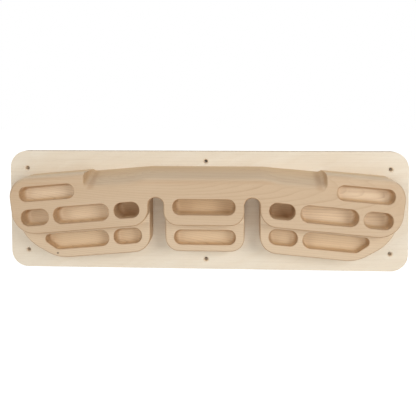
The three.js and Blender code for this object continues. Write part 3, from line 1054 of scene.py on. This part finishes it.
screw = {
    "diameter": 4.5,
    "rootDiameter": 3.2,
    "headDiameter": 9,
    "headRim": 0.4,
    "bite": 27,
    "point": 5,
    "threads": 11,
    "recessWidth": 1.2,
    "recessSpan": 4.6,
    "recessDepth": 1.6,
    "recessMouth": 1.15,  # share of the span, at the head
    "recessFloor": 0.55,
    "clearance": 0.3,
    "upperDrop": 45,
    "lowerRise": 4.4,
    "innerReach": 65,
    "outerSetback": 48.4,
    "centreSpread": 30,
    "centreDrop": 33.5,
    "centreRise": 3.5,
    "threadWidth": 0.3,  # share of the pitch
    "tipRadius": 0.1,
    "segments": 32,
    "sharpAngle": 30,
}


def screwPlaces():
    above, below = wingTop - screw["upperDrop"], screw["lowerRise"] - wing["stepDrop"]
    outer = wing["topReach"] - screw["outerSetback"]
    right = [
        wingPoint(screw["innerReach"], above)[:2],
        wingPoint(outer, above)[:2],
        wingPoint(screw["innerReach"], below)[:2],
        wingPoint(outer, below)[:2],
        (screw["centreSpread"], block["crownTop"] - screw["centreDrop"]),
        (screw["centreSpread"], screw["centreRise"] - block["centreStepDrop"]),
    ]
    return right + [(-x, y) for x, y in right]


def screwBore(x, y):
    head = screw["headDiameter"] / 2 + screw["clearance"]
    shank = screw["diameter"] / 2 + screw["clearance"]
    back, over = -panel["thickness"], plywood["overrun"]
    profile = [
        (0, back - over),
        (head, back - over),
        (head, back),
        (shank, back + head - shank),
        (shank, over),
        (0, over),
    ]
    return turnedPiece("screwBore", profile, plywood["holeSegments"], x, y)


def recessArm(turn):
    # one arm of the cross recess, tapering towards its floor
    back, depth = -panel["thickness"], screw["recessDepth"]
    rings = []
    for z, share in ((back - depth, screw["recessMouth"]), (back, 1), (back + depth, screw["recessFloor"])):
        reach, half = screw["recessSpan"] / 2 * share, screw["recessWidth"] / 2
        square = [(-reach, -half), (reach, -half), (reach, half), (-reach, half)]
        rings.append([
            (x * math.cos(turn) - y * math.sin(turn), x * math.sin(turn) + y * math.cos(turn), z)
            for x, y in square
        ])
    return skin("recessArm", rings)


def makeScrewMesh():
    head, shank, root = screw["headDiameter"] / 2, screw["diameter"] / 2, screw["rootDiameter"] / 2
    back, tip = -panel["thickness"], screw["bite"]
    pitch = (tip - screw["point"]) / screw["threads"]
    profile = [
        (0, back),
        (head - screw["headRim"] / 2, back),
        (head, back + screw["headRim"] / 2),
        (head, back + screw["headRim"]),
        (shank, back + head - shank + screw["headRim"]),
        (shank, 0),
    ]
    for thread in range(screw["threads"]):
        crest = thread + 0.5
        profile.append((root, pitch * (crest - screw["threadWidth"] / 2)))
        profile.append((shank, pitch * crest))
        profile.append((root, pitch * (crest + screw["threadWidth"] / 2)))
    profile += [(root, tip - screw["point"]), (screw["tipRadius"], tip), (0, tip)]
    made = turnedPiece("assemblyScrew", profile, screw["segments"])
    combine(made, [recessArm(0), recessArm(math.pi / 2)], "DIFFERENCE")
    made.data.materials.append(screwSteelMaterial())
    return finishMesh(made, screw["sharpAngle"])


def makeScrews():
    pattern = makeScrewMesh()
    for i, (x, y) in enumerate(screwPlaces()):
        piece = pattern.copy()
        piece.name = f"assemblyScrew.{i + 1}"
        piece.location = (x / 1000, 0, y / 1000)
        bpy.context.collection.objects.link(piece)
        standFor(piece, "screw_steel", f"assembly_screw_{i + 1}")
    bpy.data.objects.remove(pattern)


print("block")
blockPiece = makeBlock()
standFor(blockPiece, "block_wood", "hangboard_block")

print("panel")
panelPiece = makePanel()
standFor(panelPiece, "panel_wood", "backing_panel")

print("screws")
makeScrews()


# Camera at the photograph's viewpoint, solved from the panel's corners and the block's front face

camera = {
    "place": (69.8, 203.2, 1063.8),  # board frame, millimetres
    "yaw": math.radians(3.54),
    "pitch": math.radians(-2.76),
    "roll": math.radians(-0.15),
    "focal": 606.4,  # pixels of a 416 pixel frame
    "frameWidth": 416,
    "sensor": 36,
    "shiftY": -0.2,
    "clipEnd": 100,
}


def makeCamera():
    data = bpy.data.cameras.new("photoCamera")
    data.sensor_width = camera["sensor"]
    data.sensor_fit = "HORIZONTAL"
    data.lens = camera["focal"] / camera["frameWidth"] * camera["sensor"]
    data.shift_y = camera["shiftY"]
    data.clip_end = camera["clipEnd"]
    view = bpy.data.objects.new("photoCamera", data)
    bpy.context.collection.objects.link(view)
    turn = (
        Matrix.Rotation(math.pi / 2, 3, "X")
        @ Matrix.Rotation(camera["yaw"], 3, "Y")
        @ Matrix.Rotation(camera["pitch"], 3, "X")
        @ Matrix.Rotation(camera["roll"], 3, "Z")
    )
    view.matrix_world = turn.to_4x4()
    view.location = boardToFrame @ Vector(camera["place"])
    bpy.context.scene.camera = view


# Studio: white surroundings, a soft lamp to either side, a weak one low in front, a pale floor well below

studio = {
    "ambient": 0.47,
    "lampSize": 0.7,
    "lampPlace": (1.0, -1.2, 0.38),
    "lampPowerLeft": 4.1,
    "lampPowerRight": 8.3,
    "fillPlace": (0.1, -1.6, -0.3),
    "fillPower": 3.0,
    "floorDrop": 0.62,
    "floorSize": 30,
    "floorGlow": 0.8,
    "floorColour": (0.8, 0.8, 0.79, 1),
    "paintedHoleShade": (0.10, 0.075, 0.055, 1),
    "holeShadeSize": 10,  # millimetres, as is the gap
    "holeShadeGap": 0.3,
}


def squareAt(x, y, z, size):
    half = size / 2
    turns = ((-half, -half), (half, -half), (half, half), (-half, half))
    return [(x + across, y + up, z) for across, up in turns]


def emptyTree(owner, output):
    owner.use_nodes = True
    tree = owner.node_tree
    tree.nodes.clear()
    return tree, addNode(tree, output).inputs["Surface"]


def lightNode(tree, kind, colour, strength):
    node = addNode(tree, kind)
    node.inputs["Color"].default_value = colour
    feed(tree, node.inputs["Strength"], strength)
    return node.outputs[0]


def mixShaders(tree, share, first, second):
    mix = addNode(tree, "ShaderNodeMixShader")
    feed(tree, mix.inputs["Fac"], share)
    feed(tree, mix.inputs[1], first)
    feed(tree, mix.inputs[2], second)
    return mix.outputs[0]


def seesBackdrop(tree):
    # 1 for rays that should meet a white surround: camera, glossy and transmission rays
    path = addNode(tree, "ShaderNodeLightPath").outputs
    return strongest(tree, path["Is Camera Ray"], path["Is Glossy Ray"], path["Is Transmission Ray"])


def addLamp(name, power, place):
    lamp = bpy.data.lights.new(name, "AREA")
    lamp.size = studio["lampSize"]
    lamp.energy = power
    holder = bpy.data.objects.new(name, lamp)
    bpy.context.collection.objects.link(holder)
    holder.location = place
    holder.rotation_euler = (-place).to_track_quat("-Z", "Y").to_euler()


def makeStudio():
    world = bpy.data.worlds.new("studio")
    bpy.context.scene.world = world
    tree, surface = emptyTree(world, "ShaderNodeOutputWorld")
    ambient = lightNode(tree, "ShaderNodeBackground", (1, 1, 1, 1), studio["ambient"])
    white = lightNode(tree, "ShaderNodeBackground", (1, 1, 1, 1), 1)
    feed(tree, surface, mixShaders(tree, seesBackdrop(tree), ambient, white))

    across, ahead, above = studio["lampPlace"]
    addLamp("softboxLeft", studio["lampPowerLeft"], Vector((-across, ahead, above)))
    addLamp("softboxRight", studio["lampPowerRight"], Vector((across, ahead, above)))
    addLamp("softboxFront", studio["fillPower"], Vector(studio["fillPlace"]))

    floorHeight = panelLow.z - studio["floorDrop"]
    floor = meshObject("floor", squareAt(0, 0, floorHeight, studio["floorSize"]), [(0, 1, 2, 3)])
    floor.data.materials.append(floorMaterial())


def floorMaterial():
    # pale and matt; camera, glossy and transmission rays see it lifted towards white, shadows kept
    material = bpy.data.materials.new("paleFloor")
    tree, surface = emptyTree(material, "ShaderNodeOutputMaterial")
    matt = addNode(tree, "ShaderNodeBsdfDiffuse")
    matt.inputs["Color"].default_value = studio["floorColour"]
    strength = calc(tree, "MULTIPLY", seesBackdrop(tree), studio["floorGlow"])
    both = addNode(tree, "ShaderNodeAddShader")
    feed(tree, both.inputs[0], matt.outputs[0])
    feed(tree, both.inputs[1], lightNode(tree, "ShaderNodeEmission", (1, 1, 1, 1), strength))
    feed(tree, surface, both.outputs[0])
    return material


def darkenHoles():
    # painted shade: what the camera meets through the wall holes, a dark glowing patch behind each, which
    # nothing else sees
    back = -panel["thickness"] - studio["holeShadeGap"]
    corners, faces = [], []
    for x, y in wallHolePlaces():
        faces.append(tuple(range(len(corners), len(corners) + 4)))
        corners += squareAt(x, y, back, studio["holeShadeSize"])
    plate = meshObject("holeShade", corners, faces)
    plate.data.transform(boardToFrame)
    material = bpy.data.materials.new("holeShade")
    tree, surface = emptyTree(material, "ShaderNodeOutputMaterial")
    clear = addNode(tree, "ShaderNodeBsdfTransparent").outputs[0]
    shade = lightNode(tree, "ShaderNodeEmission", studio["paintedHoleShade"], 1)
    fromFront = inverse(tree, addNode(tree, "ShaderNodeNewGeometry").outputs["Backfacing"])
    seen = calc(tree, "MULTIPLY", fromFront, addNode(tree, "ShaderNodeLightPath").outputs["Is Camera Ray"])
    feed(tree, surface, mixShaders(tree, seen, clear, shade))
    plate.data.materials.append(material)


print("studio")
makeCamera()
makeStudio()
darkenHoles()
bpy.context.scene.view_settings.view_transform = "Standard"
